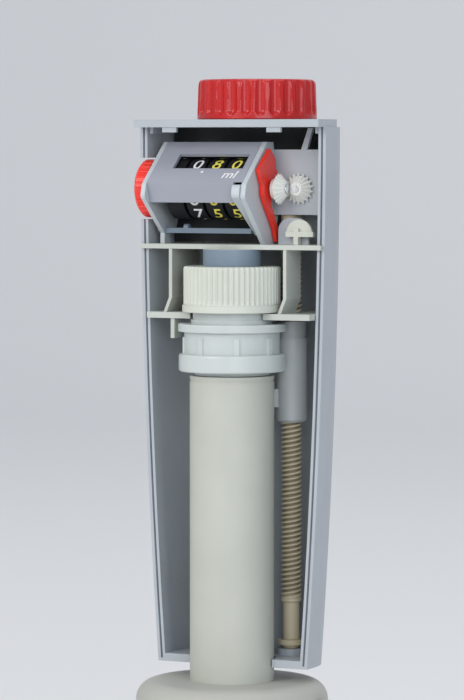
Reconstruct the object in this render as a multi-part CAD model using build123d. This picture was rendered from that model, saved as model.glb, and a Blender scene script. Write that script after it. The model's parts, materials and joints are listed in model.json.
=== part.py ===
"""Bottle top dispenser, front shell taken off: the pump housing with its digital volume setting,
the piston pump, the valve block with spout and the screw collar that fits a GL 45 bottle.

Frame: millimetres, +Z up along the pump axis, +X to the operator's right, -Y towards the operator.
The origin is the centre of the collar's lower rim, on the pump axis.
"""
import os
from math import atan2, cos, degrees, radians, sin, sqrt

from build123d import *

# ---- clearances ----
running = 0.05           # radial clearance of a shaft in its bearing
seat_gap = 0.3           # gap between pieces that sit on each other
sweep_gap = 0.5          # gap beside a piece that travels

# ---- stack along the pump axis ----
collar_height = 20.0
block_height = 35.6
housing_lift = 4.4       # housing floor above the block when the pump is down
boss_height = 5.3        # from the clamp nut to the upper shelf
setting_room = 36.6      # from the upper shelf to the top plate
plate_thickness = 2.4
stroke = 60.0

# ---- bottle collar and valve block ----
collar_radius = 28.0
thread_radius = 22.5
collar_top = 4.0
collar_flutes = 24
spigot_radius = 14.0
spigot_flange_radius = 20.0
spigot_flange = 2.0
gasket_thickness = 2.0
thread_relief = 0.7      # the collar's bore above the thread is this much wider
block_radius = 30.2
block_shoulder = 6.0
boss_height_z = 17.0     # outlet axis above the block's underside
boss_out_radius = 11.0
boss_front = 34.0
sleeve_seat = 3.0
vent_radius = 4.0
vent_depth = 5.0
vent_height = 26.0

# ---- valves ----
valve_radius = 6.0
valve_length = 15.0
valve_flange = 8.0
tube_radius = 3.0        # socket that takes the filling tube
channel_radius = 2.0
seat_bore = 1.4
ball_radius = 2.5
ball_room = 0.4
inlet_lift = 1.5
outlet_lift = 1.0
outlet_radius = 5.5
outlet_rear = 18.0
outlet_end_radius = 4.6
outlet_ball_y = -25.0

# ---- pump ----
sleeve_radius = 13.25
sleeve_wall = 2.0
sleeve_height = 95.8
glass_radius = 9.3
glass_bore = 7.3
piston_length = 14.0
rod_radius = 4.5
barrel_floor = 10.0      # bottom of the glass below the block's top
seal_height = 1.2
piston_ring_height = 1.8
piston_ring_depth = 1.2
rod_socket = 4.0
head_neck_radius = 11.9
ring_radius = 16.7
ring_height = 5.6
drum_radius = 15.0
drum_height = 6.9
flange_thickness = 2.5
flange_radius = 16.9
head_thread_radius = 12.3
nut_radius = 15.0
nut_flange_radius = 15.6
nut_flange = 2.3
nut_height = 14.3
nut_ribs = 44

# ---- housing ----
half_width_top = 32.0
half_width_middle = half_width_top - 1.7
half_width_floor = half_width_top - 6.25
depth_top = 30.0
depth_middle = depth_top - 1.0
depth_floor = depth_top - 3.0
corner_top = 0.75 * half_width_top
corner_middle = corner_top - 1.5
corner_floor = corner_top - 4.0
housing_wall = 2.5
floor_thickness = 2.5
lip = 0.95               # each of the two lips of the front rim
groove_width = 0.7
groove_depth = 1.2
plate_half_width = half_width_top - 0.3
plate_depth = depth_top - 1.0
plate_front = 5.2
plate_corner = corner_top + 1.0
skirt_depth = 2.0
skirt_wall = 1.2
tab_width = 4.8
tab_height = 1.6
foot_radius = 4.6
foot_pin = 2.2           # radius of the spindle's lower bearing
foot_height = 2.0

# ---- inner shelves ----
shelf_thickness = 1.5
shelf_front = 2.7
shelf_half_width = half_width_top - 1.0
fork_thickness = 1.9
fork_front = 4.4
fork_half_width = half_width_top - 4.0
shelf_bulge = 0.9        # how far a shelf's front edge curves out in the middle
rib_thickness = 1.1
rib_bend = 4.6
rib_lean = 1.9
rib_left = -(half_width_top - 11.0)
boss_radius = 9.1
lug_width = 1.3
lug_height = 6.3
lug_x = -(flange_radius + 2.9)

# ---- volume setting ----
shaft_drop = 19.3        # setting shaft below the plate
shaft_y = 5.0
shaft_radius = 1.5
wheel_radius = 9.6
wheel_space = 1.0496     # between two number wheels
hook_gap = 0.4952        # from the last number wheel to the hook
wheel_first = -0.564 * half_width_top      # centre of the tens wheel
thumb_radius = 9.2
thumb_width = 4.5
thumb_left = -(half_width_top + 0.5)
thumb_grooves = 30
thumb_chamfer = 0.9
press = 0.02             # radial play of a wheel or gear fixed on its shaft
cover_left = -0.778 * half_width_top
gear_apex_x = 0.578 * half_width_top
cover_right = gear_apex_x - 10.6
window_left = -0.575 * half_width_top
window_right = 0.181 * half_width_top
window_half = 3.55
window_tilt = 39.1
side_wall = 1.5
nose_radius = 1.6
hook_left = cover_right - 2.7
wheel_room = hook_left - hook_gap - wheel_first      # four wheels share it, the first from its centre
wheel_pitch = (wheel_room + wheel_space / 2) / 3.5
wheel_width = wheel_pitch - wheel_space
bracket_left = cover_right + side_wall + 0.25
flag_left = bracket_left + 0.35
flag_thickness = 1.2
bar_lug = 1.1
pin_radius = 0.9

# ---- gears ----
gear_teeth = 18
gear_radius = 0.1437 * half_width_top      # pitch radius of the mitre gears
gear_tip = 1.076 * gear_radius
gear_root = 0.896 * gear_radius
gear_face = 2.6
gear_hub = 3.2
gear_hub_length = 1.8
drive_radius = 1.2
screw_teeth = 6
screw_face = 5.0
screw_pitch = 2.4        # pitch radius of the crossed screw gears
screw_tip = 2.85
screw_root = 1.85
screw_steps = 8
journal_radius = 1.4
bracket_right = 0.8375 * half_width_top
bracket_wall = 1.4
bracket_low = 8.1        # front plate of the bracket below and above the shaft
bracket_high = 12.3
web_thickness = 1.5
key_x = gear_apex_x + 1.3
key_plate_height = 8.2

# ---- spindle ----
spindle_x = gear_apex_x - 2 * screw_pitch
spindle_radius = 3.25
shank_radius = 2.6
column_radius = 4.95
column_length = 31.8
column_neck = 4.6        # radius of the column's upper end, which passes the clamp nut
column_neck_height = 5.2
finger_width = 1.8
finger_drop = 4.8
thread_margin = 1.4
clip_width = 1.6
clip_lift = 3.2
lead = 3.0               # travel of the stop nut for one turn of the spindle
volume_full = 10.0
volume_shown = 0.8

# ---- cap ----
cap_radius = 18.9
cap_height = 12.5
cap_x = 2.3
cap_y = 13.8
cap_flutes = 48
cap_flute_radius = 0.9
cap_flute_low = 2.6
cap_round = 2.2
cap_wall = 2.2
cap_pin = 4.0
cap_hub = 5.6
cap_pin_height = 7.0
cap_washer = 6.5

# ---- spout ----
spout_radius = 2.6
spout_bore = 1.3
spout_drop = 32.0
spout_reach = 62.0
spout_bend = 9.0
spout_seat = 40.0        # from the pump axis to the tube's seat in the outlet valve
spout_nut_radius = 7.0
spout_nut_flutes = 18
spout_cap_radius = 4.2
spout_cap_length = 12.0
spout_cap_floor = 3.0

# levels
block_bottom = collar_height + seat_gap
block_top = block_bottom + block_height
housing_bottom = block_top + housing_lift
floor_top = housing_bottom + floor_thickness
sleeve_top = block_top + sleeve_height
ring_bottom = sleeve_top + 1.3
ring_top = ring_bottom + ring_height
drum_top = ring_top + drum_height
flange_top = drum_top + flange_thickness
fork_bottom = flange_top + 1.4
fork_top = fork_bottom + fork_thickness
nut_bottom = fork_top + seat_gap
nut_top = nut_bottom + nut_height
shelf_bottom = nut_top + boss_height
shelf_top = shelf_bottom + shelf_thickness
plate_bottom = shelf_top + setting_room
plate_top = plate_bottom + plate_thickness
housing_height = plate_bottom - housing_bottom
shaft_z = plate_bottom - shaft_drop
barrel_bottom = block_top - barrel_floor
barrel_top = sleeve_top - 4.0
travel_per_ml = stroke / volume_full
column_top = fork_bottom - seat_gap - 0.8
nut_up = volume_shown * travel_per_ml
nut_down = stroke - nut_up
spigot_bottom = collar_height - collar_top - seat_gap
gasket_top = spigot_bottom - spigot_flange
gasket_bottom = gasket_top - gasket_thickness
valve_top = spigot_bottom + valve_length
valve_ball_z = valve_top - 2.6 * ball_radius
spout_z = block_bottom + boss_height_z
vent_z = block_bottom + vent_height
piston_bottom = barrel_bottom + seal_height + 1.0
thread_low = column_top - column_length - nut_down - thread_margin
clip_z = floor_top + clip_lift
web_low = shaft_z + screw_face / 2 + 1.0
web_top = web_low + web_thickness
bracket_front = shaft_y + max(gear_radius + 0.7, 0.552 * wheel_radius)
spindle_y = bracket_front + bracket_wall + spindle_radius + running
bracket_rear = spindle_y + 3.3
web_gap = 0.8168161      # from the bracket's rear corner to the rounded shell
web_reach = corner_top - housing_wall - web_gap
web_corner_y = bracket_rear + bracket_wall - depth_top + corner_top
web_right = half_width_top - corner_top + sqrt(web_reach ** 2 - web_corner_y ** 2)
drive_rear = spindle_y + 4.6

os.makedirs("parts", exist_ok=True)


def save(name, shape):
    export_step(shape, f"parts/{name}.step")


def block(x0, x1, y0, y1, z0, z1):
    return Pos((x0 + x1) / 2, (y0 + y1) / 2, (z0 + z1) / 2) * Box(x1 - x0, y1 - y0, z1 - z0)


def rod(radius, low, high, x=0, y=0):
    return Pos(x, y, (low + high) / 2) * Cylinder(radius, high - low)


def rod_x(radius, left, right, y, z):
    return Pos((left + right) / 2, y, z) * Rot(0, 90, 0) * Cylinder(radius, right - left)


def rod_y(radius, front, rear, x, z):
    return Pos(x, (front + rear) / 2, z) * Rot(90, 0, 0) * Cylinder(radius, rear - front)


def ring(outer, inner, low, high, x=0, y=0):
    return rod(outer, low, high, x, y) - rod(inner, low - 1, high + 1, x, y)


def turned(points):
    """A solid turned about Z from a closed outline of (radius, height) points."""
    outline = make_face(Plane.XZ * Polyline(*points, close=True))
    return revolve(outline, Axis.Z)


def around(count, radius, item, start=0):
    return [Rot(0, 0, start + 360 * n / count) * Pos(radius, 0, 0) * item for n in range(count)]


# ---------------------------------------------------------------- bottle collar and valve block
def bottle_collar():
    rim = collar_height - collar_top
    body = ring(collar_radius, thread_radius, 0, gasket_bottom)
    body += ring(collar_radius, thread_radius + thread_relief, gasket_bottom, rim)
    body += ring(collar_radius, spigot_radius + running, rim, collar_height)
    flute = rod(1.6, 2.5, collar_height - 2.5)
    return body - around(collar_flutes, collar_radius + 0.9, flute)


def valve_block():
    low = spigot_bottom
    body = turned([(0, block_bottom), (block_radius, block_bottom), (block_radius, block_top),
                   (0, block_top)])
    rim = body.edges().filter_by(GeomType.CIRCLE).sort_by(Axis.Z)[-1]
    body = fillet(rim, block_shoulder)
    boss = rod_y(boss_out_radius, -boss_front, 0, 0, spout_z) & rod(block_radius + 4, 0, block_top)
    body += boss
    body += rod(spigot_radius, low - 0.1, block_bottom + 0.1)
    body += rod(spigot_flange_radius, low - spigot_flange, low)
    body -= rod(glass_radius + running, barrel_bottom, block_top + 1)
    body -= ring(sleeve_radius + running, sleeve_radius - sleeve_wall - running,
                 block_top - sleeve_seat, block_top + 1)
    body -= rod(valve_radius + running, low - spigot_flange - 1, valve_top)
    body -= rod(channel_radius, valve_top - 0.1, barrel_bottom + 0.1)
    body -= rod_y(channel_radius, -boss_front - 1, 0, 0, spout_z)
    body -= rod_y(outlet_radius + running, -boss_front - 1, -outlet_rear, 0, spout_z)
    body -= rod_x(vent_radius + running, block_radius - vent_depth, block_radius + 1, 0, vent_z)
    return body


def bottle_gasket():
    return ring(thread_radius - 1, valve_flange + 1, gasket_bottom, gasket_top)


def inlet_valve():
    """Screw-in inlet valve with the ball chamber above and the socket of the filling tube below."""
    body = rod(valve_radius, gasket_top, valve_top - seat_gap)
    body += rod(valve_flange, gasket_bottom, gasket_top)
    body -= rod(ball_radius + ball_room, valve_ball_z, valve_top + 1)
    body -= rod(seat_bore, gasket_bottom, valve_ball_z)
    return body - rod(tube_radius, gasket_bottom - 1, valve_ball_z - 2.0)


def ball(y, z):
    return Pos(0, y, z) * Sphere(ball_radius)


def inlet_ball():
    """Rests on the chamber's edge, whose circle is the bore of the seat."""
    return ball(0, valve_ball_z + sqrt(ball_radius ** 2 - seat_bore ** 2) + press)


def barrel():
    return ring(glass_radius, glass_bore, barrel_bottom + seal_height, barrel_top)


def barrel_seal():
    return ring(glass_radius, glass_bore, barrel_bottom, barrel_bottom + seal_height)


def cylinder_sleeve():
    body = ring(sleeve_radius, sleeve_radius - sleeve_wall, block_top - sleeve_seat + 0.1, sleeve_top)
    body += ring(sleeve_radius - 0.5, glass_radius + 0.1, sleeve_top - 2.5, sleeve_top)
    groove = ring(sleeve_radius + 1, sleeve_radius - 0.2, sleeve_top - 1.7, sleeve_top - 1.1)
    return body - groove


# ---------------------------------------------------------------- spout
def outlet_valve():
    """Plug in the block's boss with an upright ball chamber between its two bores."""
    seat_z = spout_z - 1.0
    roof = seat_z + 2 * ball_radius + outlet_lift + 0.1
    body = rod_y(outlet_radius, -boss_front, -outlet_rear - seat_gap, 0, spout_z)
    body += rod_y(outlet_end_radius, -spout_seat, -boss_front, 0, spout_z)
    body -= rod_y(spout_bore, -spout_seat - 1, outlet_ball_y, 0, spout_z + 1.6)
    body -= rod_y(spout_bore, outlet_ball_y, -outlet_rear + 1, 0, spout_z - 3.2)
    body -= rod(spout_bore, spout_z - 3.2, spout_z, 0, outlet_ball_y)
    return body - rod(ball_radius + ball_room, seat_z, roof, 0, outlet_ball_y)


def outlet_ball():
    return ball(outlet_ball_y, spout_z - 1.0 + sqrt(ball_radius ** 2 - spout_bore ** 2) + press)


def spout_nut():
    body = rod_y(spout_nut_radius, -spout_seat - 4.5, -boss_front - 0.4, 0, spout_z)
    body -= rod_y(outlet_end_radius + running, -spout_seat - 0.3, -boss_front, 0, spout_z)
    body -= rod_y(spout_radius + running, -spout_seat - 6, -boss_front, 0, spout_z)
    flute = Pos(spout_nut_radius + 0.5, 0, 0) * Rot(90, 0, 0) * Cylinder(0.9, 14)
    turns = [360 * n / spout_nut_flutes for n in range(spout_nut_flutes)]
    return body - [Pos(0, -spout_seat, spout_z) * Rot(0, turn, 0) * flute for turn in turns]


def spout_tube():
    """Discharge tube: out of the union nut, round one bend and down to the tip."""
    route = FilletPolyline((0, -spout_seat - 0.2, spout_z), (0, -spout_reach, spout_z),
                           (0, -spout_reach, spout_z - spout_drop), radius=spout_bend)
    start = Plane(origin=(0, -spout_seat - 0.2, spout_z), z_dir=(0, -1, 0))
    tube = sweep(start * Circle(spout_radius), route) - sweep(start * Circle(spout_bore), route)
    return tube


# ---------------------------------------------------------------- pump head, rod and piston
def piston_head():
    """Head of the piston: threaded neck, flange, drum, lower ring and short neck."""
    body = rod(head_neck_radius, sleeve_top + 0.2, ring_bottom + 0.1)
    body += fillet(rod(ring_radius, ring_bottom, ring_top).edges(), 0.8)
    body += rod(drum_radius, ring_top - 0.1, drum_top)
    body += fillet(rod(flange_radius, drum_top, flange_top).edges(), 0.4)
    body += rod(head_thread_radius, flange_top - 0.1, nut_top - 1.5)
    body += rod(head_thread_radius + 0.6, flange_top, fork_bottom - 0.1)
    for angle in (-150, -105, -60, -15):
        body += Rot(0, 0, angle) * block(drum_radius - 1, drum_radius + 0.5, -0.9, 0.9,
                                         ring_top - 0.2, drum_top - 1.8)
    column_way = rod(column_radius + sweep_gap, ring_bottom - 1, drum_top + 9, spindle_x, spindle_y)
    return body - column_way - rod(rod_radius + running, 0, plate_top)


def clamp_nut():
    body = rod(nut_radius, nut_bottom, nut_top)
    body = chamfer(body.edges().filter_by(GeomType.CIRCLE).sort_by(Axis.Z)[-1], 0.6)
    rib = rod(0.62, nut_bottom + nut_flange, nut_top - 0.6)
    body -= around(nut_ribs, nut_radius + 0.18, rib)
    body += rod(nut_flange_radius, nut_bottom, nut_bottom + nut_flange)
    body -= rod(head_thread_radius + running, nut_bottom - 1, nut_top - 1.2)
    return body - rod(rod_radius + 1, 0, plate_top)


def piston_rod():
    return rod(rod_radius, piston_bottom + piston_length - rod_socket + press, nut_top)


def piston():
    body = rod(glass_bore - running, piston_bottom, piston_bottom + piston_length)
    top = piston_bottom + piston_length
    body -= rod(rod_radius + press, top - rod_socket, top + 1)
    groove = piston_bottom + 3
    groove_top = groove + piston_ring_height + 0.2
    return body - ring(glass_bore + 1, glass_bore - piston_ring_depth, groove, groove_top)


def piston_ring():
    low = piston_bottom + 3.1
    return ring(glass_bore - press, glass_bore - piston_ring_depth + 0.1, low, low + piston_ring_height)


# ---------------------------------------------------------------- housing
def housing_outline(z, half, depth, corner, inset, front):
    """D-shaped section: straight sides, round rear corners and a flat back, open edge at the front."""
    x, y, r = half - inset, depth - inset, max(corner - inset, 1)
    path = Polyline((-x, y - r, z), (-x, front, z), (x, front, z), (x, y - r, z))
    right = RadiusArc((x, y - r, z), (x - r, y, z), -r)
    back = Line((x - r, y, z), (-x + r, y, z))
    left = RadiusArc((-x + r, y, z), (-x, y - r, z), -r)
    return make_face([*path.edges(), right, back, left])


def housing_size(z):
    """Half width, depth and corner radius at one height, along gently curved walls."""
    t = (z - housing_bottom) / housing_height
    def blend(low, middle, high):
        return low * (1 - t) * (1 - 2 * t) + middle * 4 * t * (1 - t) + high * t * (2 * t - 1)
    return (blend(half_width_floor, half_width_middle, half_width_top),
            blend(depth_floor, depth_middle, depth_top), blend(corner_floor, corner_middle, corner_top))


def housing_form(inset, low, high, front=0.0):
    """Solid between two heights whose section is the housing's, drawn in by inset."""
    levels = [low, (low + high) / 2, high]
    return loft([housing_outline(z, *housing_size(z), inset, front) for z in levels])


def rear_housing():
    outer = housing_form(0, housing_bottom, plate_bottom)
    body = outer - housing_form(housing_wall, floor_top, plate_bottom, -5.0)
    ditch = housing_form(lip, housing_bottom, plate_bottom) - housing_form(
        lip + groove_width, housing_bottom, plate_bottom, -1)
    wide = 2 * half_width_top
    body -= ditch & block(-wide, wide, -1, groove_depth, housing_bottom + lip, plate_bottom)
    body -= rod(sleeve_radius + sweep_gap, housing_bottom - 1, floor_top + 1)
    reach = thumb_radius + sweep_gap
    body -= block(2 * thumb_left, thumb_left + thumb_width + 1.5, -1, shaft_y + reach,
                  shaft_z - reach, shaft_z + reach)
    body += rod(foot_radius, floor_top - 0.1, floor_top + foot_height, spindle_x, spindle_y)
    body -= rod(foot_pin + running, floor_top - 1.0, floor_top + 3, spindle_x, spindle_y)
    return body


def top_plate():
    face = housing_outline(plate_bottom, plate_half_width, plate_depth, plate_corner, 0, -plate_front)
    body = extrude(face, plate_thickness)
    inset = housing_wall + seat_gap
    skirt = housing_form(inset, plate_bottom - skirt_depth, plate_bottom, 1.0)
    skirt -= housing_form(inset + skirt_wall, plate_bottom - skirt_depth - 1, plate_bottom + 1, -1.0)
    body += skirt
    for x in (-0.6125 * half_width_top, 0.5094 * half_width_top):
        body += block(x - tab_width / 2, x + tab_width / 2, -plate_front + 0.5, -plate_front + 1.7,
                      plate_bottom - tab_height, plate_bottom)
    return body


def top_cap():
    low, high = plate_top + 0.1, plate_top + 0.1 + cap_height
    body = Pos(cap_x, cap_y, low) * Cone(cap_radius, cap_radius - 0.5, cap_height,
                                         align=(Align.CENTER, Align.CENTER, Align.MIN))
    body = fillet(body.edges().filter_by(GeomType.CIRCLE).sort_by(Axis.Z)[-1], cap_round)
    flute = rod(cap_flute_radius, low + cap_flute_low, high + 1)
    body -= [Pos(cap_x, cap_y, 0) * cut for cut in around(cap_flutes, cap_radius + 0.35, flute)]
    body -= rod(cap_radius - cap_wall - 0.4, low - 1, high - cap_wall, cap_x, cap_y)
    body += ring(cap_hub, cap_pin + running, low + 0.4, high - cap_wall + 0.1, cap_x, cap_y)
    return body


def cap_pivot():
    body = rod(cap_pin, plate_top, plate_top + cap_pin_height, cap_x, cap_y)
    return body + rod(cap_washer, plate_top, plate_top + 0.35, cap_x, cap_y)


# ---------------------------------------------------------------- inner chassis
def shelf_plate(low, high, front, front_half):
    """Shelf that fills the shell's section and stands a little ahead of its rim."""
    inside = housing_form(housing_wall + seat_gap, low, high, -seat_gap)
    corner = (front_half, -front + shelf_bulge)
    edge = ThreePointArc((-front_half, corner[1]), (0, -front), corner)
    sides = Polyline(corner, (front_half, -seat_gap), (-front_half, -seat_gap), (-front_half, corner[1]))
    return inside + Pos(0, 0, low) * extrude(make_face([edge, *sides.edges()]), high - low)


def chassis():
    body = shelf_plate(shelf_bottom, shelf_top, shelf_front, shelf_half_width)
    fork = shelf_plate(fork_bottom, fork_top, fork_front, fork_half_width)
    fork -= rod(head_thread_radius + 0.6 + seat_gap, fork_bottom - 1, fork_top + 1)
    fork -= rod(column_radius + sweep_gap, fork_bottom - 1, fork_top + 1, spindle_x, spindle_y)
    body += fork
    body += ring(boss_radius, rod_radius + running, nut_top + seat_gap, shelf_bottom + 0.1)
    rib_right = nut_flange_radius + rib_lean + 0.9
    for x, rear in ((rib_left, 0.6 * depth_top), (rib_right, spindle_y - column_radius - 2 * sweep_gap)):
        body += bent_rib(x, -2.0, rear)
    lug_bottom = fork_bottom - lug_height
    body += block(lug_x, lug_x + lug_width, -fork_front + 1.2, 2.0, lug_bottom, fork_bottom + 0.1)
    body += rod(3.0, shelf_top - 0.1, shelf_top + 1.2, spindle_x, spindle_y)
    body -= rod(spindle_radius + running, shelf_bottom - 1, shelf_top + 2, spindle_x, spindle_y)
    return body


def bent_rib(x, front, rear):
    """Upright rib between the shelves whose foot leans to the left."""
    bend_z, t = fork_top + rib_bend, rib_thickness
    side = Polyline((x, shelf_bottom + 0.1), (x, bend_z), (x - rib_lean, fork_top - 0.1),
                    (x - rib_lean + t, fork_top - 0.1), (x + t, bend_z), (x + t, shelf_bottom + 0.1),
                    close=True)
    return extrude(make_face(Plane.XZ.offset(-front) * side), -(rear - front))


# ---------------------------------------------------------------- volume setting
def mitre_gear():
    """Straight bevel gear: large end on z = 0, all tooth lines meet in the apex at z = gear_radius."""
    pitch = 360 / gear_teeth
    def outline(scale):
        points = []
        for n in range(gear_teeth):
            for r, half in ((gear_root, -6.6), (gear_tip, -2.6), (gear_tip, 2.6), (gear_root, 6.6)):
                a = radians(pitch * n + half)
                points.append((scale * r * cos(a), scale * r * sin(a)))
        return points
    scale = (gear_radius - gear_face) / gear_radius
    big = make_face(Polyline(*outline(1), close=True))
    small = Pos(0, 0, gear_face) * make_face(Polyline(*outline(scale), close=True))
    body = loft([big, small], ruled=True)
    return body + rod(gear_root, -0.5, 0)


def bevel_gear_a():
    gear = (Pos(gear_apex_x - gear_radius, shaft_y, shaft_z) * Rot(0, 90, 0)
            * Rot(0, 0, 180 / gear_teeth) * mitre_gear())
    face = gear_apex_x - gear_radius
    gear += rod_x(gear_hub, face - gear_hub_length, face, shaft_y, shaft_z)
    return gear - rod_x(shaft_radius + press, 0, gear_apex_x, shaft_y, shaft_z)


def bevel_gear_b():
    gear = (Pos(gear_apex_x, shaft_y + gear_radius, shaft_z) * Rot(90, 0, 0)
            * Rot(0, 0, 180 / gear_teeth) * mitre_gear())
    return gear - rod_y(drive_radius + press, shaft_y, depth_top, gear_apex_x, shaft_z)


def drive_shaft():
    return rod_y(drive_radius, shaft_y + gear_radius - gear_face - 0.3, drive_rear, gear_apex_x, shaft_z)


def screw_gear(bore):
    """Left-hand helical gear with 45 degree teeth, standing on z = -screw_face / 2."""
    points = []
    for n in range(screw_teeth):
        for r, half in ((screw_root, -19), (screw_tip, -8), (screw_tip, 8), (screw_root, 19)):
            a = radians(360 / screw_teeth * n + half)
            points.append((r * cos(a), r * sin(a)))
    face = make_face(Polyline(*points, close=True))
    turn = -degrees(screw_face / screw_pitch)
    sections = [Pos(0, 0, screw_face * (n / screw_steps - 0.5))
                * Rot(0, 0, turn * (n / screw_steps - 0.5)) * face for n in range(screw_steps + 1)]
    return loft(sections, ruled=True) - Cylinder(bore, screw_face + 2)


def screw_gear_driver():
    gear = Rot(-90, 0, 0) * Rot(0, 0, 180 + 180 / screw_teeth) * screw_gear(drive_radius + press)
    return Pos(gear_apex_x, spindle_y, shaft_z) * gear


def screw_gear_driven():
    return Pos(spindle_x, spindle_y, shaft_z) * screw_gear(journal_radius + press)


def spindle():
    """Spindle with its plain shank, clip groove, foot pin and the journal of the screw gear."""
    gear_low = shaft_z - screw_face / 2
    body = rod(spindle_radius, thread_low, gear_low - running, spindle_x, spindle_y)
    body += rod(journal_radius, gear_low - 0.1, web_top - 0.2, spindle_x, spindle_y)
    body += rod(shank_radius, floor_top + foot_height + seat_gap, thread_low + 0.1, spindle_x, spindle_y)
    groove_low, groove_high = clip_z - 0.05, clip_z + clip_width + 0.05
    body -= ring(shank_radius + 1, foot_pin, groove_low, groove_high, spindle_x, spindle_y)
    body += rod(foot_pin, floor_top - 0.8, floor_top + foot_height + 0.4, spindle_x, spindle_y)
    return body


def spindle_clip():
    """Open retaining clip pushed into the spindle's groove."""
    body = ring(shank_radius + 1.6, foot_pin + press, clip_z, clip_z + clip_width, spindle_x, spindle_y)
    mouth = block(-1.5, 1.5, 0, 10, clip_z - 1, clip_z + clip_width + 1)
    return body - Pos(spindle_x, spindle_y, 0) * Rot(0, 0, 40) * mouth


def stop_nut():
    """Tube nut on the spindle: threaded end, long skirt and the flat stop finger beside the sleeve."""
    low, neck = column_top - column_length, column_top - column_neck_height
    body = rod(column_radius, low, neck, spindle_x, spindle_y)
    body = chamfer(body.edges().filter_by(GeomType.CIRCLE).sort_by(Axis.Z)[0], 0.8)
    body += rod(column_neck, neck, column_top, spindle_x, spindle_y)
    reach = sqrt(spindle_x ** 2 + spindle_y ** 2) - sleeve_radius - 0.6
    finger = block(-finger_width / 2, finger_width / 2, -reach, 0, low + finger_drop,
                   ring_bottom - nut_up - 1.2)
    body += Pos(spindle_x, spindle_y, 0) * Rot(0, 0, -degrees(atan2(spindle_x, spindle_y))) * finger
    body -= rod(spindle_radius + running, low - 1, column_top + 1, spindle_x, spindle_y)
    return body


def gear_bracket():
    """Front plate with the drive shaft's bearing, web with the spindle's bearing, and a rear post."""
    front, rear, wall = bracket_front, bracket_rear, bracket_wall
    web_left = bracket_left + 0.85
    body = block(bracket_left, bracket_right, front, front + wall, shaft_z - bracket_low,
                 shaft_z + bracket_high)
    body += block(web_left, web_right, front, rear + wall, web_low, web_top)
    body += block(web_left, web_right, rear, rear + wall, shelf_top, web_top)
    x, low, high = gear_apex_x + 0.5, shaft_z + bracket_high - 0.1, plate_bottom - seat_gap
    strut = Polyline((x, low), (x + 2.0, low), (x + 4.0, high), (x + 2.4, high), close=True)
    body += extrude(make_face(Plane.XZ.offset(-front) * strut), -wall)
    body -= rod_y(drive_radius + running, 0, depth_top, gear_apex_x, shaft_z)
    body -= rod(journal_radius + running, web_low - 1, web_top + 1, spindle_x, spindle_y)
    return body


def key_plate():
    rear = bracket_front - 0.7
    left = flag_left + flag_thickness + 1.0
    front, top = rear - bracket_wall, shelf_top + key_plate_height
    body = block(left, key_x + 2.7, front, rear, shelf_top, top)
    corners = body.edges().filter_by(Axis.Y).sort_by(Axis.Z)[-2:]
    return fillet(corners, key_plate_height / 2 - 0.1)


def key():
    """Cross-shaped adjusting key: fan, blade and upright post standing on the shelf."""
    y1 = bracket_front - 0.7 - bracket_wall - seat_gap
    y0 = y1 - 2.3
    body = block(key_x - 4.0, key_x + 5.4, y0, y1 - 1, shelf_top + 2.4, shelf_top + 4.0)
    body += block(key_x - 1.3, key_x + 0.3, y0, y1, shelf_top, shelf_top + 5.0)
    fan = rod_y(4.4, y1 - 0.9, y1, key_x, shelf_top + 3.4)
    fan &= block(key_x - 10, key_x + 10, 0, depth_top, shelf_top + 3.2, shelf_top + 20)
    return body + fan


def thumbwheel():
    body = rod_x(thumb_radius, thumb_left, thumb_left + thumb_width, shaft_y, shaft_z)
    body = chamfer(body.edges().filter_by(GeomType.CIRCLE).sort_by(Axis.X)[0], thumb_chamfer)
    cut = Pos(0, thumb_radius + 0.1, 0) * rod_x(0.35, thumb_left - 1, thumb_left + thumb_width + 1, 0, 0)
    turns = [360 * n / thumb_grooves for n in range(thumb_grooves)]
    body -= [Pos(0, shaft_y, shaft_z) * Rot(turn, 0, 0) * cut for turn in turns]
    return body - rod_x(shaft_radius + press, 2 * thumb_left, 0, shaft_y, shaft_z)


def counter_shaft():
    right = gear_apex_x - gear_radius + gear_face + 0.3
    return rod_x(shaft_radius, thumb_left + 0.5, right, shaft_y, shaft_z)


def number_wheel(n, bore):
    x = wheel_first + n * wheel_pitch
    body = rod_x(wheel_radius, x - wheel_width / 2, x + wheel_width / 2, shaft_y, shaft_z)
    return body - rod_x(bore, x - wheel_width, x + wheel_width, shaft_y, shaft_z)


def counter_section(points):
    """Closed outline across the counter, from (y, z) points about the shaft in wheel radii."""
    corners = [(shaft_y + y * wheel_radius, shaft_z + z * wheel_radius) for y, z in points]
    return make_face(Plane.YZ * Polyline(*corners, close=True))


def counter_cover():
    """Bent cover over the number wheels, with the reading window in its sloping face."""
    face = counter_section([(0.063, 1.531), (-1.542, 0.229), (-1.312, -0.437), (-1.166, -0.396),
                            (-1.384, 0.213), (0.096, 1.411), (0.313, 1.411), (0.313, 1.531)])
    body = Pos(cover_left, 0, 0) * extrude(face, cover_right - cover_left)
    middle = Pos(0, shaft_y - 0.709 * wheel_radius, shaft_z + 0.907 * wheel_radius)
    opening = block(window_left, window_right, -window_half, window_half, -4, 4)
    body -= middle * Rot(window_tilt, 0, 0) * opening
    notch_top = shaft_z + 0.229 * wheel_radius
    return body - block(hook_left - 0.2, cover_right + 1, -depth_top, shaft_y, shaft_z - 10, notch_top)


def round_nose(body, radius):
    """Round the two edges that lie furthest forward."""
    return fillet(body.edges().filter_by(Axis.X).sort_by(Axis.Y)[:2], radius)


def counter_side(left, right, lower):
    """Kite-shaped side plate of the counter with the shaft's bearing; lower holds its lower corners."""
    face = counter_section([(0.063, 1.531), (-1.583, 0.167), (-1.708, -0.250), *lower,
                            (1.146, -0.313), (0.520, 1.531)])
    body = round_nose(Pos(left, 0, 0) * extrude(face, right - left), nose_radius)
    return body - rod_x(shaft_radius + running, left - 1, right + 1, shaft_y, shaft_z)


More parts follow.
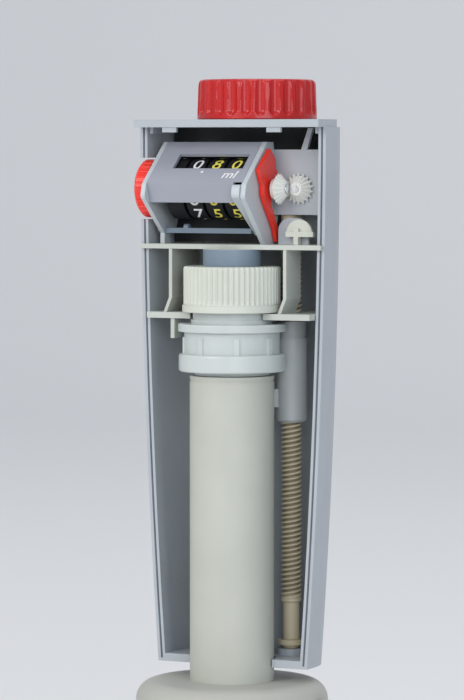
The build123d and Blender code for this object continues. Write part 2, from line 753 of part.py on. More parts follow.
def counter_side_left():
    """Left side plate: cut off level above the shelf, with a small foot."""
    left, right = cover_left - side_wall, cover_left - running
    body = counter_side(left, right, [(-0.209, -1.458), (0.625, -1.458)])
    foot_top = shaft_z - 1.433 * wheel_radius
    return body + block(left, right, shaft_y - 2.0, shaft_y + 2.5, shelf_top, foot_top)


def counter_side_right():
    """Right side plate: reaches down to the shelf."""
    left, right = cover_right + running, cover_right + side_wall + 0.2
    return counter_side(left, right, [(-0.100, -1.800), (0.573, -1.800)])


def counter_hook():
    """Strap with a rounded end along the lower front edge of the right side plate."""
    face = counter_section([(-1.688, 0.187), (-1.771, -0.229), (0.104, -1.521), (0.459, -1.521),
                            (-1.312, -0.104), (-1.396, 0.125)])
    hook = Pos(hook_left, 0, 0) * extrude(face, cover_right - hook_left - running)
    return round_nose(hook, nose_radius)


def counter_flag():
    """Red plate beside the right side plate, wide at the top, with a narrow leg bent to the rear."""
    face = counter_section([(-0.042, 1.302), (-0.938, 0.635), (-0.830, 0.420), (-0.646, 0.104),
                            (-0.646, -0.177), (-0.396, -0.531), (0.021, -0.990), (0.313, -1.354),
                            (0.448, -1.729), (0.729, -1.729), (0.604, -1.354), (0.354, -0.990),
                            (0.031, -0.531), (0.021, -0.177), (0.167, 0.052), (0.500, 0.552),
                            (0.375, 0.667), (0.354, 0.979)])
    body = Pos(flag_left, 0, 0) * extrude(face, flag_thickness)
    return body - rod_x(shaft_radius + sweep_gap, 0, gear_apex_x, shaft_y, shaft_z)


def counter_bar():
    """Bar below the wheels with a half-round lug."""
    low = shaft_z - 1.458 * wheel_radius
    body = block(cover_left + running, hook_left - 0.1, shaft_y - 1.8, shaft_y + 0.4, low, low + 1.6)
    return body + rod_x(bar_lug, window_left, window_left + 1.6, shaft_y - 0.7, low + 1.8)


def counter_pin():
    right = cover_left - side_wall
    return rod_x(pin_radius, right - 1.7, right, shaft_y + 0.5, shaft_z - 1.333 * wheel_radius)


def spout_cap():
    tip = spout_z - spout_drop
    low = tip - spout_cap_floor
    body = rod(spout_cap_radius, low, low + spout_cap_length, 0, -spout_reach)
    body -= rod(spout_radius + running, tip - seat_gap, tip + spout_cap_length, 0, -spout_reach)
    flutes = around(12, spout_cap_radius + 0.3, rod(0.6, low - 1, tip + 5))
    return body - [Pos(0, -spout_reach, 0) * cut for cut in flutes]


def vent_plug():
    body = rod_x(vent_radius, block_radius - vent_depth + 0.2, block_radius + 0.5, 0, vent_z)
    return body + rod_x(vent_radius + 1.0, block_radius + 0.4, block_radius + 3.0, 0, vent_z)


# ---------------------------------------------------------------- write the parts
save("bottle_collar", bottle_collar())
save("valve_block", valve_block())
save("bottle_gasket", bottle_gasket())
save("inlet_valve", inlet_valve())
save("inlet_ball", inlet_ball())
save("barrel", barrel())
save("barrel_seal", barrel_seal())
save("cylinder_sleeve", cylinder_sleeve())
save("outlet_valve", outlet_valve())
save("outlet_ball", outlet_ball())
save("spout_nut", spout_nut())
save("spout_tube", spout_tube())
save("spout_cap", spout_cap())
save("vent_plug", vent_plug())
save("piston_head", piston_head())
save("clamp_nut", clamp_nut())
save("piston_rod", piston_rod())
save("piston", piston())
save("piston_ring", piston_ring())
save("rear_housing", rear_housing())
save("top_plate", top_plate())
save("cap_pivot", cap_pivot())
save("top_cap", top_cap())
save("chassis", chassis())
save("thumbwheel", thumbwheel())
save("counter_shaft", counter_shaft())
save("bevel_gear_a", bevel_gear_a())
save("bevel_gear_b", bevel_gear_b())
save("drive_shaft", drive_shaft())
save("screw_gear_driver", screw_gear_driver())
save("screw_gear_driven", screw_gear_driven())
save("spindle", spindle())
save("spindle_clip", spindle_clip())
save("stop_nut", stop_nut())
save("gear_bracket", gear_bracket())
save("key_plate", key_plate())
save("key", key())
for n, name in enumerate(("tens_wheel", "units_wheel", "tenths_wheel")):
    save(name, number_wheel(n, shaft_radius + running))
save("hundredths_wheel", number_wheel(3, shaft_radius + press))
save("counter_cover", counter_cover())
save("counter_side_left", counter_side_left())
save("counter_side_right", counter_side_right())
save("counter_hook", counter_hook())
save("counter_flag", counter_flag())
save("counter_bar", counter_bar())
save("counter_pin", counter_pin())
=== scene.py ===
"""Looks of the bottle top dispenser: materials, threads, digits, light, floor and camera.

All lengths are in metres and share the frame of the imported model: +Z up along the pump axis,
-Y towards the operator, +X to the operator's right.
"""
import json

import bmesh
import bpy
import numpy as np
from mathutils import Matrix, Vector

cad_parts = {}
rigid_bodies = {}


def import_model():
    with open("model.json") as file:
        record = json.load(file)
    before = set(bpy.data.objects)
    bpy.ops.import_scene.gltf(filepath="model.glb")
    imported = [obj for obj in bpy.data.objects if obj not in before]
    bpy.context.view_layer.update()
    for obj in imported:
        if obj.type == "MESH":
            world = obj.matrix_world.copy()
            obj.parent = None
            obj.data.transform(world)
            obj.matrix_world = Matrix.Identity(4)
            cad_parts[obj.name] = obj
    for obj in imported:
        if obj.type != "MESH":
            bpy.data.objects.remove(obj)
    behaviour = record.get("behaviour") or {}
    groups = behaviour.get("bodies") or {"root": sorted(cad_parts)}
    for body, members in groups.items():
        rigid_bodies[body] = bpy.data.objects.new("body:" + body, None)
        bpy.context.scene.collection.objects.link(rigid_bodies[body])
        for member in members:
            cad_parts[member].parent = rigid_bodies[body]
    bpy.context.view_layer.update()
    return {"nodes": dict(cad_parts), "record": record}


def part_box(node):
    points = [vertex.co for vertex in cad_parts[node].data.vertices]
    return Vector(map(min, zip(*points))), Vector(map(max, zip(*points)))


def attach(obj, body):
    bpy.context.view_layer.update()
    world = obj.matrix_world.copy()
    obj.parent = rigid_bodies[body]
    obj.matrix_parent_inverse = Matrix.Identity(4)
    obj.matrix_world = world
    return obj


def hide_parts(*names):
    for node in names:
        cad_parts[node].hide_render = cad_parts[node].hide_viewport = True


for leftover in list(bpy.data.objects):
    bpy.data.objects.remove(leftover)
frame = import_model()
MM = 0.001
FULL_TURN = 2 * np.pi

# ---------------------------------------------------------------- camera
AZIMUTH = np.radians(25.0)
ELEVATION = np.radians(3.1)
DISTANCE = 1.18
FOCAL_PX = 3766.0        # focal length in pixels of the frame
FRAME_H = 700
SENSOR_MM = 36.0
AIM = Vector((0.0, 0.0, 0.1596))


def add_camera():
    """Long lens, slightly above the object and to its right."""
    data = bpy.data.cameras.new("camera")
    data.sensor_width = SENSOR_MM
    data.lens = FOCAL_PX * data.sensor_width / FRAME_H
    data.clip_end = 20
    camera = bpy.data.objects.new("camera", data)
    bpy.context.scene.collection.objects.link(camera)
    flat = np.cos(ELEVATION)
    ray = Vector((np.sin(AZIMUTH) * flat, -np.cos(AZIMUTH) * flat, np.sin(ELEVATION)))
    camera.location = AIM + DISTANCE * ray
    camera.rotation_euler = (-ray).to_track_quat("-Z", "Y").to_euler()
    bpy.context.scene.camera = camera


# ---------------------------------------------------------------- materials
CLOUD_SCALE = 45         # cloudiness of moulded plastic, in cycles per metre
GRAIN_SCALE = 1800       # moulding grain
GRAIN_DEPTH = 0.02 * MM
GLOSS_SPREAD = 0.06      # how far the roughness wanders to either side
MILKY_DEPTH = 2.0 * MM   # how far light spreads below a milky surface
GROOVE_SHADE_SPREAD = 0.16     # how much the painted shade in a thread's grooves wanders


def new_material(name):
    """Empty material with its node tree and its shader."""
    material = bpy.data.materials.new(name)
    material.use_nodes = True
    tree = material.node_tree
    return material, tree, tree.nodes["Principled BSDF"]


def noise_fac(tree, scale, detail=4.0, stretch=(1, 1, 1)):
    """Noise over the piece's own coordinates, in cycles per metre."""
    place = tree.nodes.new("ShaderNodeTexCoord")
    mapping = tree.nodes.new("ShaderNodeMapping")
    mapping.inputs["Scale"].default_value = stretch
    noise = tree.nodes.new("ShaderNodeTexNoise")
    noise.inputs["Scale"].default_value = scale
    noise.inputs["Detail"].default_value = detail
    tree.links.new(place.outputs["Object"], mapping.inputs["Vector"])
    tree.links.new(mapping.outputs["Vector"], noise.inputs["Vector"])
    return noise.outputs["Fac"]


def color_between(tree, shader, fac, low, high, colors):
    """Base colour that runs from the first colour at low to the second at high."""
    node = tree.nodes.new("ShaderNodeValToRGB")
    node.color_ramp.elements[0].position = low
    node.color_ramp.elements[1].position = high
    for element, color in zip(node.color_ramp.elements, colors):
        element.color = (*color, 1)
    tree.links.new(fac, node.inputs["Fac"])
    tree.links.new(node.outputs["Color"], shader.inputs["Base Color"])


def shade(color, factor):
    """The colour made lighter or darker by a factor."""
    return tuple(min(1.0, c * factor) for c in color)


def plastic(name, color, rough=0.42, spread=0.04, gloss=0.5, milky=0.0, coat=0.0):
    """Moulded plastic: faint cloudy colour, fine moulding grain and uneven gloss."""
    material, tree, shader = new_material(name)
    cloud = noise_fac(tree, CLOUD_SCALE, 3)
    tones = [shade(color, 1 - spread), shade(color, 1 + spread)]
    color_between(tree, shader, cloud, 0.3, 0.7, tones)
    fine = noise_fac(tree, GRAIN_SCALE, 6)
    dull = tree.nodes.new("ShaderNodeMapRange")
    dull.inputs["To Min"].default_value = rough - GLOSS_SPREAD
    dull.inputs["To Max"].default_value = rough + GLOSS_SPREAD
    tree.links.new(cloud, dull.inputs["Value"])
    tree.links.new(dull.outputs["Result"], shader.inputs["Roughness"])
    bump = tree.nodes.new("ShaderNodeBump")
    bump.inputs["Strength"].default_value = 0.25
    bump.inputs["Distance"].default_value = GRAIN_DEPTH
    tree.links.new(fine, bump.inputs["Height"])
    tree.links.new(bump.outputs["Normal"], shader.inputs["Normal"])
    shader.inputs["Specular IOR Level"].default_value = gloss
    shader.inputs["Subsurface Weight"].default_value = milky
    if milky:
        shader.inputs["Subsurface Radius"].default_value = (1.0, 0.9, 0.8)
        shader.inputs["Subsurface Scale"].default_value = MILKY_DEPTH
    shader.inputs["Coat Weight"].default_value = coat
    shader.inputs["Coat Roughness"].default_value = 0.12
    return material


def greased(name, crest, groove, rough):
    """Plastic thread whose grooves are darkened by painted shade, by the depth stored on the mesh as
    "groove".
    """
    material, tree, shader = new_material(name)
    depth = tree.nodes.new("ShaderNodeAttribute")
    depth.attribute_name = "groove"
    cloud = noise_fac(tree, 120, 4)
    uneven = tree.nodes.new("ShaderNodeMath")
    uneven.operation = "MULTIPLY_ADD"
    uneven.inputs[1].default_value = GROOVE_SHADE_SPREAD
    tree.links.new(cloud, uneven.inputs[0])
    tree.links.new(depth.outputs["Fac"], uneven.inputs[2])
    color_between(tree, shader, uneven.outputs["Value"], 0.10, 0.95, [crest, groove])
    shader.inputs["Roughness"].default_value = rough
    return material


def metal(name, color, rough):
    """Drawn metal with fine streaks along the piece's Z axis."""
    material, tree, shader = new_material(name)
    streaks = noise_fac(tree, 1500, 4, (1, 1, 0.05))
    color_between(tree, shader, streaks, 0.35, 0.65, [shade(color, 0.88), shade(color, 1.08)])
    shader.inputs["Metallic"].default_value = 1.0
    shader.inputs["Roughness"].default_value = rough
    return material


def clear(name, color, rough, ior, haze):
    """Clear glass or plastic, with a little haze."""
    material, tree, shader = new_material(name)
    cloud = noise_fac(tree, 60, 3)
    color_between(tree, shader, cloud, 0.3, 0.7, [shade(color, 0.97), color])
    shader.inputs["Roughness"].default_value = rough
    shader.inputs["IOR"].default_value = ior
    shader.inputs["Transmission Weight"].default_value = 1.0 - haze
    return material


FINISHES = {
    "housing_grey": (plastic, dict(color=(0.43, 0.46, 0.49), rough=0.40)),
    "chassis_cream": (plastic, dict(color=(0.52, 0.54, 0.49), rough=0.42)),
    "block_grey": (plastic, dict(color=(0.46, 0.46, 0.41), rough=0.45)),
    "sleeve_grey": (plastic, dict(color=(0.50, 0.51, 0.45), rough=0.50, spread=0.05)),
    "natural_white": (plastic, dict(color=(0.58, 0.62, 0.60), rough=0.30, milky=0.35, coat=0.2)),
    "nut_cream": (plastic, dict(color=(0.64, 0.66, 0.58), rough=0.38)),
    "signal_red": (plastic, dict(color=(0.50, 0.010, 0.010), rough=0.27, gloss=0.4, coat=0.14,
                                 spread=0.05)),
    "counter_lilac": (plastic, dict(color=(0.34, 0.35, 0.40), rough=0.45)),
    "counter_white": (plastic, dict(color=(0.52, 0.56, 0.58), rough=0.42)),
    "digit_black": (plastic, dict(color=(0.008, 0.008, 0.010), rough=0.50, gloss=0.25)),
    "thread_beige": (plastic, dict(color=(0.62, 0.53, 0.36), rough=0.35, coat=0.1)),
    # thread with painted shade in its grooves
    "thread_groove_shaded": (greased, dict(crest=(0.68, 0.59, 0.41), groove=(0.29, 0.24, 0.155),
                                     rough=0.38)),
    "column_grey": (plastic, dict(color=(0.46, 0.48, 0.48), rough=0.42)),
    "digit_white": (plastic, dict(color=(0.80, 0.80, 0.80), rough=0.4)),
    "digit_yellow": (plastic, dict(color=(0.80, 0.70, 0.10), rough=0.4)),
    # painted shade: near-black sheet standing for the deep shade behind the counter
    "painted_shade_black": (plastic, dict(color=(0.030, 0.032, 0.034), rough=0.5)),
    "flag_red": (plastic, dict(color=(0.90, 0.030, 0.014), rough=0.30, coat=0.2, spread=0.05)),
    "bar_blue": (plastic, dict(color=(0.17, 0.22, 0.28), rough=0.35)),
    # the boss's own bluish tint, darkened by painted shade under the upper shelf
    "boss_blue_painted_shade": (plastic, dict(color=(0.20, 0.26, 0.32), rough=0.35, milky=0.2)),
    "gear_ivory": (plastic, dict(color=(0.78, 0.79, 0.74), rough=0.35)),
    "steel": (metal, dict(color=(0.62, 0.62, 0.62), rough=0.3)),
    "seal": (plastic, dict(color=(0.02, 0.02, 0.02), rough=0.6)),
    "glass": (clear, dict(color=(0.92, 0.96, 0.97), rough=0.02, ior=1.5, haze=0.05)),
    "spout_clear": (plastic, dict(color=(0.62, 0.68, 0.72), rough=0.22, milky=0.3, coat=0.3)),
}
# nodes whose shade differs a little from the rest of their slot
NODE_FINISHES = {"counter_flag": "flag_red", "thumbwheel": "flag_red", "counter_bar": "bar_blue",
                 "bevel_gear_a": "gear_ivory", "bevel_gear_b": "gear_ivory"}
materials = {}


def finish_of(slot):
    """Material of a slot, made when it is first asked for."""
    if slot not in materials:
        maker, look = FINISHES[slot]
        materials[slot] = maker(slot, **look)
    return materials[slot]


def dress_nodes():
    """Give every CAD node its finish."""
    for row in frame["record"]["subparts"]:
        piece = frame["nodes"][row["node"]]
        piece.data.materials.clear()
        slot = NODE_FINISHES.get(row["node"], row["material_slot"])
        piece.data.materials.append(finish_of(slot))


# ---------------------------------------------------------------- pieces from meshes
def new_piece(name, mesh):
    """Object of a mesh, linked to the scene."""
    piece = bpy.data.objects.new(name, mesh)
    bpy.context.scene.collection.objects.link(piece)
    return piece


def piece_of(shape, name):
    """Object of an edited mesh, which is freed."""
    mesh = bpy.data.meshes.new(name)
    shape.to_mesh(mesh)
    shape.free()
    return new_piece(name, mesh)


def grid_mesh(name, x, y, z, wrap=False):
    """Surface given by its points on a grid of rows and columns, closed across the columns if wrap."""
    rows, cols = x.shape
    points = np.stack([x, y, z], -1).reshape(-1, 3)
    i, j = np.meshgrid(np.arange(rows - 1), np.arange(cols if wrap else cols - 1), indexing="ij")
    right = (j + 1) % cols
    corners = [i * cols + j, i * cols + right, (i + 1) * cols + right, (i + 1) * cols + j]
    mesh = bpy.data.meshes.new(name)
    mesh.from_pydata(points.tolist(), [], np.stack(corners, -1).reshape(-1, 4).tolist())
    mesh.update()
    return new_piece(name, mesh)


def finish_piece(piece, name, body, slot):
    """Name the piece, give it a finish and let it ride on a body."""
    piece.name = name
    piece.data.name = name
    piece.data.materials.clear()
    piece.data.materials.append(finish_of(slot))
    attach(piece, body)
    return piece


def smooth(piece, degrees):
    """Smooth shading broken at edges sharper than the given angle."""
    piece.data.shade_smooth()
    piece.data.set_sharp_from_angle(angle=np.radians(degrees))


def middle_of(node):
    """Middle of a node's box."""
    low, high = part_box(node)
    return (low + high) / 2


# ---------------------------------------------------------------- threaded spindle
SPINDLE_LEAD = 3.0 * MM
SPINDLE_STARTS = 2
SPINDLE_DEPTH = 0.72 * MM
SPINDLE_COLUMNS = 48
STEPS_PER_CREST = 12
CREST_RADIUS, SHANK_RADIUS, GROOVE_RADIUS, JOURNAL_RADIUS = 3.25 * MM, 2.6 * MM, 2.2 * MM, 1.4 * MM
CLIP_LAND_LOW, CLIP_LOW, CLIP_HIGH = 65.1 * MM, 65.95 * MM, 67.65 * MM     # heights of the clip's groove
SHANK_HIGH, THREAD_LOW, THREAD_HIGH, JOURNAL_LOW = 79.3 * MM, 79.9 * MM, 199.0 * MM, 207.45 * MM


def spindle_thread():
    """Spindle with its two-start thread.

    The radius at angle a and height z is the crest radius less the depth times a rounded
    trapezoid of the phase, where phase = starts * (z / lead - a / full turn).
    """
    low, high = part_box("spindle")
    angle = np.linspace(0, FULL_TURN, SPINDLE_COLUMNS + 1)[:-1]
    step = SPINDLE_LEAD / SPINDLE_STARTS / STEPS_PER_CREST
    a, z = np.meshgrid(angle, np.arange(THREAD_LOW, THREAD_HIGH, step))
    phase = (SPINDLE_STARTS * (z / SPINDLE_LEAD - a / FULL_TURN)) % 1.0
    tooth = np.clip(3.2 * np.abs(phase - 0.5) - 0.40, 0, 0.8) / 0.8
    fade = np.clip(np.minimum(z - THREAD_LOW, THREAD_HIGH - z) / SPINDLE_LEAD, 0, 1)
    radius = CREST_RADIUS - SPINDLE_DEPTH * tooth * fade
    below = [(0.0, low.z), (GROOVE_RADIUS, low.z), (GROOVE_RADIUS, CLIP_LAND_LOW)]
    below += [(SHANK_RADIUS, CLIP_LAND_LOW), (SHANK_RADIUS, CLIP_LOW), (GROOVE_RADIUS, CLIP_LOW)]
    below += [(GROOVE_RADIUS, CLIP_HIGH), (SHANK_RADIUS, CLIP_HIGH), (SHANK_RADIUS, SHANK_HIGH)]
    below += [(CREST_RADIUS, THREAD_LOW - 0.02 * MM)]
    above = [(CREST_RADIUS, THREAD_HIGH + 0.2 * MM), (CREST_RADIUS, JOURNAL_LOW)]
    above += [(JOURNAL_RADIUS, JOURNAL_LOW), (JOURNAL_RADIUS, high.z), (0.0, high.z)]
    r_low, z_low = [np.repeat(part[:, None], len(angle), 1) for part in np.array(below).T]
    r_high, z_high = [np.repeat(part[:, None], len(angle), 1) for part in np.array(above).T]
    r = np.vstack([r_low, radius, r_high])
    h = np.vstack([z_low, z, z_high])
    turn = np.repeat(angle[None, :], len(r), 0)
    centre = (low + high) / 2
    x, y = centre.x + r * np.cos(turn), centre.y + r * np.sin(turn)
    piece = grid_mesh("spindle_thread", x, y, h, wrap=True)
    smooth(piece, 40)
    # the groove depth sets how much painted shade darkens each point of the thread
    depth = np.vstack([np.zeros(r_low.shape), tooth * fade, np.zeros(r_high.shape)])
    groove = piece.data.attributes.new("groove", "FLOAT", "POINT")
    groove.data.foreach_set("value", depth.ravel())
    finish_piece(piece, "spindle_thread", "spindle", "thread_groove_shaded")
    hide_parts("spindle")


# ---------------------------------------------------------------- fluted turnings
FLUTE_COLUMNS = 14       # columns of the mesh for each flute
FLUTE_BAND = 2.2 * MM    # flutes are cut no further inside the rim than this


def fluted_turning(name, node, slot, profile, rim, flutes, cutter, depth, low_end, body):
    """Turned piece with round-bottomed flutes cut along its rim.

    The radius at angle a and height z is the smaller of the turned profile and the near side of a
    cutter of radius c, whose axis stands c - depth outside the rim:
    r = rim + c - depth - square root of (c^2 - u^2 - v^2), where u is the arc length from the middle
    of the flute and v is how far z lies below the centre of the flute's rounded end.
    Profile and sizes are in millimetres, heights from the node's foot.
    """
    foot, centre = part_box(node)[0].z, middle_of(node)
    radii, levels = np.array(profile).T * MM
    rim, cutter, depth, low_end = rim * MM, cutter * MM, depth * MM, low_end * MM
    pitch = FULL_TURN / flutes
    angle = np.linspace(0, FULL_TURN, flutes * FLUTE_COLUMNS + 1)[:-1]
    a, r = np.meshgrid(angle, radii)
    z = np.repeat(levels[:, None], len(angle), 1)
    u = rim * ((a / pitch) % 1.0 - 0.5) * pitch
    v = np.clip(low_end - z, 0, None)
    inside = cutter ** 2 - u ** 2 - v ** 2
    cut = rim + cutter - depth - np.sqrt(np.clip(inside, 0, None))
    reached = (inside > 0) & (r > rim - FLUTE_BAND) & (r < rim + 0.01 * MM)
    r = np.where(reached, np.minimum(r, cut), r)
    x, y = centre.x + r * np.cos(a), centre.y + r * np.sin(a)
    piece = grid_mesh(name, x, y, foot + z, wrap=True)
    smooth(piece, 38)
    finish_piece(piece, name, body, slot)
    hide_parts(node)


def scalloped_cap():
    """Red cap: wide scallops, rounded rim and a hub below."""
    tall, rim, top_rim, edge = 12.5, 18.9, 18.45, 1.5
    wall, bore, hub = 16.3, 4.01, 5.6
    ceiling, hub_foot, foot_edge = tall - 2.2, 0.4, 0.25
    lean = (rim - top_rim) / tall
    profile = [(0, ceiling), (bore, ceiling), (bore, hub_foot), (hub, hub_foot), (hub, ceiling)]
    profile += [(wall, ceiling), (wall, 0), (rim - foot_edge, 0), (rim, foot_edge)]
    levels = [*np.arange(0.5, 3.6, 0.2), *np.arange(4.0, tall - edge, 0.8)]
    profile += [(rim - lean * level, level) for level in levels]
    for bend in np.linspace(0, np.pi / 2, 13):
        profile.append((top_rim - edge + edge * np.cos(bend), tall - edge + edge * np.sin(bend)))
    profile += [(top_rim - edge - 0.4, tall), (8, tall), (0, tall)]
    fluted_turning("cap_scalloped", "top_cap", "signal_red", profile, rim,
                   flutes=26, cutter=2.0, depth=1.1, low_end=2.9, body="top_cap")


def ribbed_nut():
    """Clamp nut with fine upright ribs above its flange."""
    low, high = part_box("clamp_nut")
    tall = (high.z - low.z) / MM
    flange, rim, top_bore, bore, ceiling = 15.6, 15.2, 5.5, 12.31, tall - 1.2
    profile = [(top_bore, tall), (top_bore, ceiling), (bore, ceiling), (bore, 0)]
    profile += [(flange - 0.2, 0), (flange, 0.2), (flange, 2.1), (flange - 0.2, 2.3), (rim, 2.35)]
    profile += [(rim, level) for level in np.linspace(2.5, tall - 0.7, 16)]
    profile += [(rim - 0.15, tall - 0.3), (rim - 0.5, tall), (top_bore, tall)]
    fluted_turning("nut_ribbed", "clamp_nut", "nut_cream", profile, rim,
                   flutes=56, cutter=0.75, depth=0.6, low_end=3.4, body="carriage")


# ---------------------------------------------------------------- skins inside the housing, with painted shade
BOSS_RADIUS = 9.1 * MM
BOSS_HEIGHT = 5.28 * MM
SKIN_LIFT = 0.03 * MM
# size and place of the sheet of painted shade behind the counter
SHADE_SHEET_HALF, SHADE_SHEET_BACK, SHADE_SHEET_CORNER = 26.5 * MM, 25.8 * MM, 20.0 * MM
SHADE_SHEET_FLAT = 8.0 * MM                             # half of the flat middle
SHADE_SHEET_LOW, SHADE_SHEET_HIGH = -34.4 * MM, 1.9 * MM     # from the underside of the top plate's skirt


def boss_skin():
    """Bluish skin of the boss that reaches down from the upper shelf onto the clamp nut. Its bluish tint
    is the boss's own; its darkness is painted shade under the shelf.
    """
    top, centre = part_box("clamp_nut")[1].z, middle_of("clamp_nut")
    angle = np.linspace(0, FULL_TURN, 73)[:-1]
    a, z = np.meshgrid(angle, top + np.array([0.05 * MM, 0.3 * MM, 5.0 * MM, BOSS_HEIGHT]))
    lift = np.array([0, SKIN_LIFT, SKIN_LIFT, SKIN_LIFT])
    r = np.repeat((BOSS_RADIUS + lift)[:, None], len(angle), 1)
    x, y = centre.x + r * np.cos(a), centre.y + r * np.sin(a)
    piece = grid_mesh("boss_skin", x, y, z, wrap=True)
    smooth(piece, 40)
    finish_piece(piece, "boss_skin", "carriage", "boss_blue_painted_shade")


def back_lining():
    """Dark sheet of painted shade for the deep shade behind the counter, just inside the rounded rear
    wall.

    At a distance x from the middle the sheet lies at the depth of a flat wall with round corners:
    y = back up to the corner's start, and beyond it back - c + square root of (c^2 - s^2), where c is
    the corner's radius and s is how far x lies past that start.
    """
    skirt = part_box("top_plate")[0].z
    across = np.linspace(-SHADE_SHEET_HALF, SHADE_SHEET_HALF, 61)
    past = np.clip(np.abs(across) - SHADE_SHEET_FLAT, 0, SHADE_SHEET_CORNER)
    depth = SHADE_SHEET_BACK - SHADE_SHEET_CORNER + np.sqrt(SHADE_SHEET_CORNER ** 2 - past ** 2)
    x, z = np.meshgrid(across, np.linspace(skirt + SHADE_SHEET_LOW, skirt + SHADE_SHEET_HIGH, 5))
    piece = grid_mesh("back_lining", x, np.repeat(depth[None, :], len(z), 0), z)
    smooth(piece, 40)
    finish_piece(piece, "back_lining", "carriage", "painted_shade_black")


# ---------------------------------------------------------------- digits
DIGIT_HEIGHT = 4.5 * MM
DIGIT_LIFT = 0.03 * MM
DIGIT_RAISE = 0.5 * MM   # digits stand this far above the middle of the window
DIGIT_SLANT = 0.12
DIGIT_BOLD = 0.010
UNIT_HEIGHT, UNIT_SLANT, UNIT_BOLD = 3.45 * MM, 0.22, 0.012
UNIT_RIGHT, UNIT_DROP = 0.3 * MM, 8.0 * MM
DOT_RADIUS, DOT_RIGHT, DOT_DROP = 0.48 * MM, 0.5 * MM, 5.1 * MM
GLYPH_SLICES = 8
SETTING_SHAFT = middle_of("units_wheel")
SHAFT_Y, SHAFT_Z = SETTING_SHAFT.y, SETTING_SHAFT.z
WHEEL_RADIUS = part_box("units_wheel")[1].z - SHAFT_Z
WINDOW_ANGLE = np.pi / 2 + np.radians(39.1)


def text_mesh(words, height, slant, bold):
    """Flat mesh of the words, centred in X, capital height as given, sliced for bending."""
    curve = bpy.data.curves.new("words", "FONT")
    curve.body = words
    curve.size = 1.0
    curve.offset = bold
    curve.shear = slant
    curve.align_x = "CENTER"
    curve.resolution_u = 6
    shape = new_piece("words", curve)
    bpy.context.view_layer.update()
    evaluated = shape.evaluated_get(bpy.context.evaluated_depsgraph_get())
    flat = bpy.data.meshes.new_from_object(evaluated)
    bpy.data.objects.remove(shape)
    glyph = bmesh.new()
    glyph.from_mesh(flat)
    bpy.data.meshes.remove(flat)
    tall = max(v.co.y for v in glyph.verts)
    for v in glyph.verts:
        v.co = v.co * (height / tall)
    for level in np.linspace(0, height, GLYPH_SLICES + 1)[1:-1]:
        everything = glyph.verts[:] + glyph.edges[:] + glyph.faces[:]
        bmesh.ops.bisect_plane(glyph, geom=everything, plane_co=(0, level, 0), plane_no=(0, 1, 0))
    return glyph


def wheel_digits(node, body, labels, slot):
    """Digits round a number wheel; the label at index k sits k tenths of a turn above the window.

    A point at height h of a flat glyph goes to the angle of the window less (h - half the digit's
    height) / radius, at the wheel's radius plus a hair.
    """
    x = middle_of(node).x
    reach = WHEEL_RADIUS + DIGIT_LIFT
    joined = bmesh.new()
    for k, label in enumerate(labels):
        if not label:
            continue
        glyph = text_mesh(label, DIGIT_HEIGHT, DIGIT_SLANT, DIGIT_BOLD)
        middle = WINDOW_ANGLE - DIGIT_RAISE / WHEEL_RADIUS - k * FULL_TURN / len(labels)
        for v in glyph.verts:
            angle = middle - (v.co.y - DIGIT_HEIGHT / 2) / WHEEL_RADIUS
            v.co = (x + v.co.x, SHAFT_Y + reach * np.cos(angle), SHAFT_Z + reach * np.sin(angle))
        part = bpy.data.meshes.new("glyph")
        glyph.to_mesh(part)
        glyph.free()
        joined.from_mesh(part)
        bpy.data.meshes.remove(part)
    name = node.replace("wheel", "digits")
    finish_piece(piece_of(joined, name), name, body, slot)


def cover_marks():
    """Decimal point and unit printed on the sloping face below the window."""
    outward = Vector((0, np.cos(WINDOW_ANGLE), np.sin(WINDOW_ANGLE)))
    shaft = Vector((0, SHAFT_Y, SHAFT_Z))
    cover = frame["nodes"]["counter_cover"].data.vertices
    face_reach = max((v.co - shaft).dot(outward) for v in cover) + DIGIT_LIFT
    marks = text_mesh("ml", UNIT_HEIGHT, UNIT_SLANT, UNIT_BOLD)
    unit_x = middle_of("hundredths_wheel").x + UNIT_RIGHT
    for v in marks.verts:
        v.co.x += unit_x
        v.co.y -= UNIT_DROP
    dot_x = (middle_of("units_wheel").x + middle_of("tenths_wheel").x) / 2 + DOT_RIGHT
    rim = [marks.verts.new((dot_x + DOT_RADIUS * np.cos(a), -DOT_DROP + DOT_RADIUS * np.sin(a), 0))
           for a in np.linspace(0, FULL_TURN, 25)[:-1]]
    marks.faces.new(rim)
    for v in marks.verts:
        up = Vector((0, outward.z, -outward.y)) * v.co.y
        v.co = Vector((v.co.x, SHAFT_Y, SHAFT_Z)) + face_reach * outward + up
    finish_piece(piece_of(marks, "cover_marks"), "cover_marks", "carriage", "digit_white")


# ---------------------------------------------------------------- floor and light
FLOOR_REACH = 9.0        # to the sides and to the front
BACKDROP_START = 1.6
BACKDROP_RADIUS = 0.8


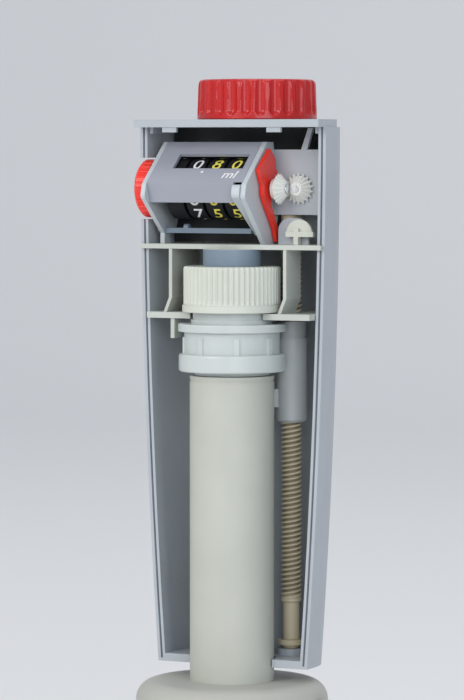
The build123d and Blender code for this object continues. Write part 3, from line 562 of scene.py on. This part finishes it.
def add_floor():
    """Pale floor that sweeps up into a backdrop behind the object.

    Along the sheet, s from 0 to 1: flat up to s = 0.5, then a quarter circle up to s = 0.75, then
    straight up.
    """
    across = np.linspace(-FLOOR_REACH, FLOOR_REACH, 3)
    s = np.linspace(0, 1, 40)
    angle = np.clip((s - 0.5) * 4, 0, 1) * np.pi / 2
    flat = -FLOOR_REACH + s * 2 * (BACKDROP_START + FLOOR_REACH)
    y = np.where(s < 0.5, flat, BACKDROP_START + BACKDROP_RADIUS * np.sin(angle))
    z = np.where(s < 0.5, 0, BACKDROP_RADIUS * (1 - np.cos(angle))) + np.clip(s - 0.75, 0, 1) * 8
    grid_x, grid_y = np.meshgrid(across, y)
    piece = grid_mesh("floor", grid_x, grid_y, np.repeat(z[:, None], len(across), 1))
    piece.data.shade_smooth()
    material, tree, shader = new_material("floor_pale")
    shader.inputs["Base Color"].default_value = (0.8, 0.8, 0.8, 1)
    shader.inputs["Roughness"].default_value = 0.9
    piece.data.materials.append(material)


def area_light(name, place, power, color):
    """Large square softbox that faces the object."""
    data = bpy.data.lights.new(name, "AREA")
    data.shape = "SQUARE"
    data.size = 1.4
    data.energy = power
    data.color = color
    lamp = bpy.data.objects.new(name, data)
    lamp.location = place
    lamp.rotation_euler = (AIM - Vector(place)).to_track_quat("-Z", "Y").to_euler()
    bpy.context.scene.collection.objects.link(lamp)


def add_light():
    """Soft cool surroundings and three softboxes."""
    world = bpy.data.worlds.new("studio")
    bpy.context.scene.world = world
    world.use_nodes = True
    surroundings = world.node_tree.nodes["Background"]
    surroundings.inputs["Color"].default_value = (0.86, 0.91, 1.0, 1)
    surroundings.inputs["Strength"].default_value = 0.55
    area_light("key", (-0.75, -2.25, 1.25), 26, (1.0, 0.97, 0.92))
    area_light("fill", (1.6, -2.1, 0.85), 21, (0.86, 0.92, 1.0))
    area_light("top", (0.0, 0.3, 2.2), 13, (1.0, 1.0, 1.0))


add_camera()
dress_nodes()
spindle_thread()
scalloped_cap()
ribbed_nut()
boss_skin()
back_lining()
count = [str(k) for k in range(10)]
wheel_digits("tens_wheel", "tens", ["", "1"] + [""] * 8, "digit_white")
wheel_digits("units_wheel", "units", count, "digit_white")
wheel_digits("tenths_wheel", "tenths", count[8:] + count[:8], "digit_yellow")
wheel_digits("hundredths_wheel", "setting", ["0", "5"] * 5, "digit_yellow")
cover_marks()
add_floor()
add_light()
bpy.context.scene.view_settings.view_transform = "Standard"
